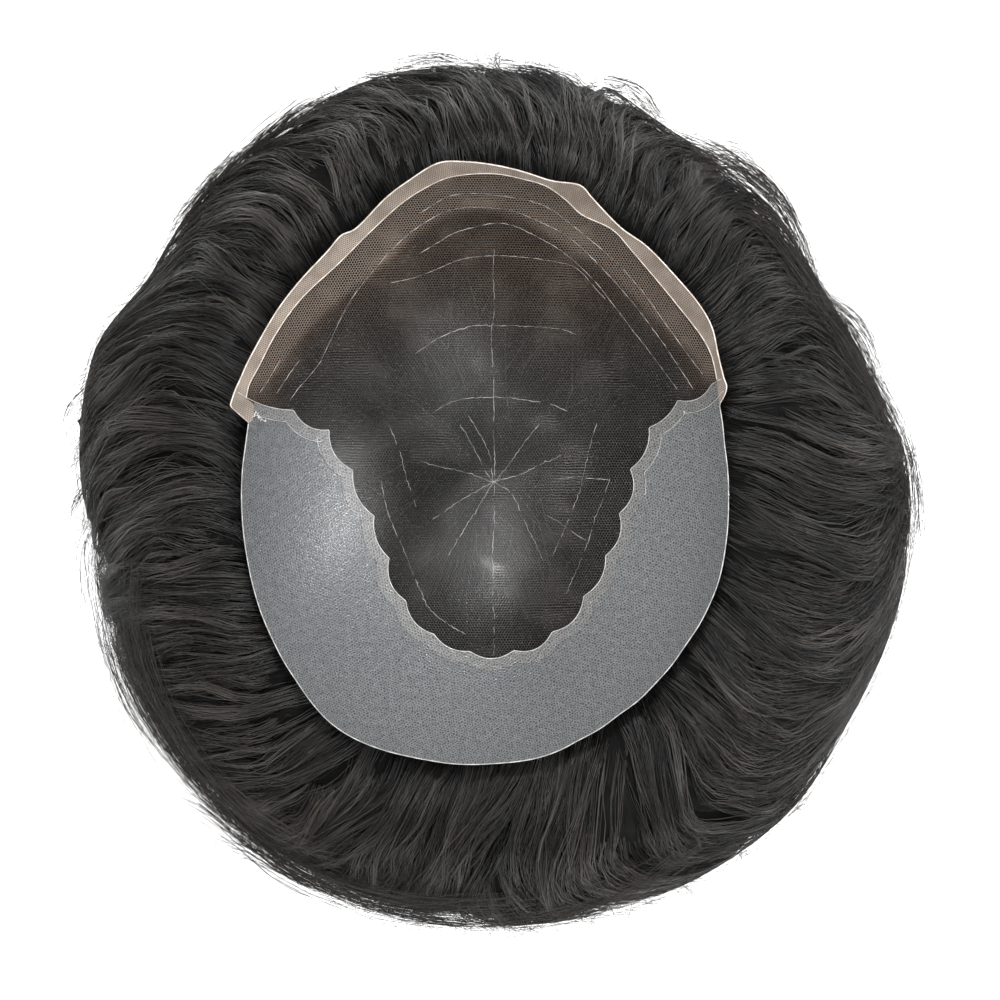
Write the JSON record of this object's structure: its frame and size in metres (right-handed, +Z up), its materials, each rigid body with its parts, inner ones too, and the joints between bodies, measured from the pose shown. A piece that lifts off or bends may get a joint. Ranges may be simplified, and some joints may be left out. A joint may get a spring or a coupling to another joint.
{
  "type": "toupee hairpiece",
  "caption": "Men's toupee lying scalp side up: a bowl-shaped lace and skin base with a scalloped seam and a folded front edge, in a fan of short dark hair.",
  "frame": {"origin": "on the surface that the piece lies on, under the middle of its box", "axes": "+Z up out of the bowl's mouth, +Y towards the front hairline, +X to the wearer's left as the scalp side is seen from above"},
  "size_m": [0.291, 0.2996, 0.0823],
  "materials": {
    "lace": "fine hexagonal net, light grey threads over dark hair",
    "hem_lace": "cream net folded double, matt",
    "skin": "thin grey polyurethane film, satin, with dark knots in diagonal rows",
    "seam": "net glued under film, greyish beige",
    "hair": "natural black hair, soft sheen"
  },
  "bodies": {
    "root": {"lace_cap": "lace", "front_lace_strip": "hem_lace", "poly_band": "skin", "scallop_seam": "seam", "hair_front": "hair", "hair_left": "hair", "hair_back": "hair", "hair_right": "hair", "hair_crown": "hair"}
  },
  "joints": []
}
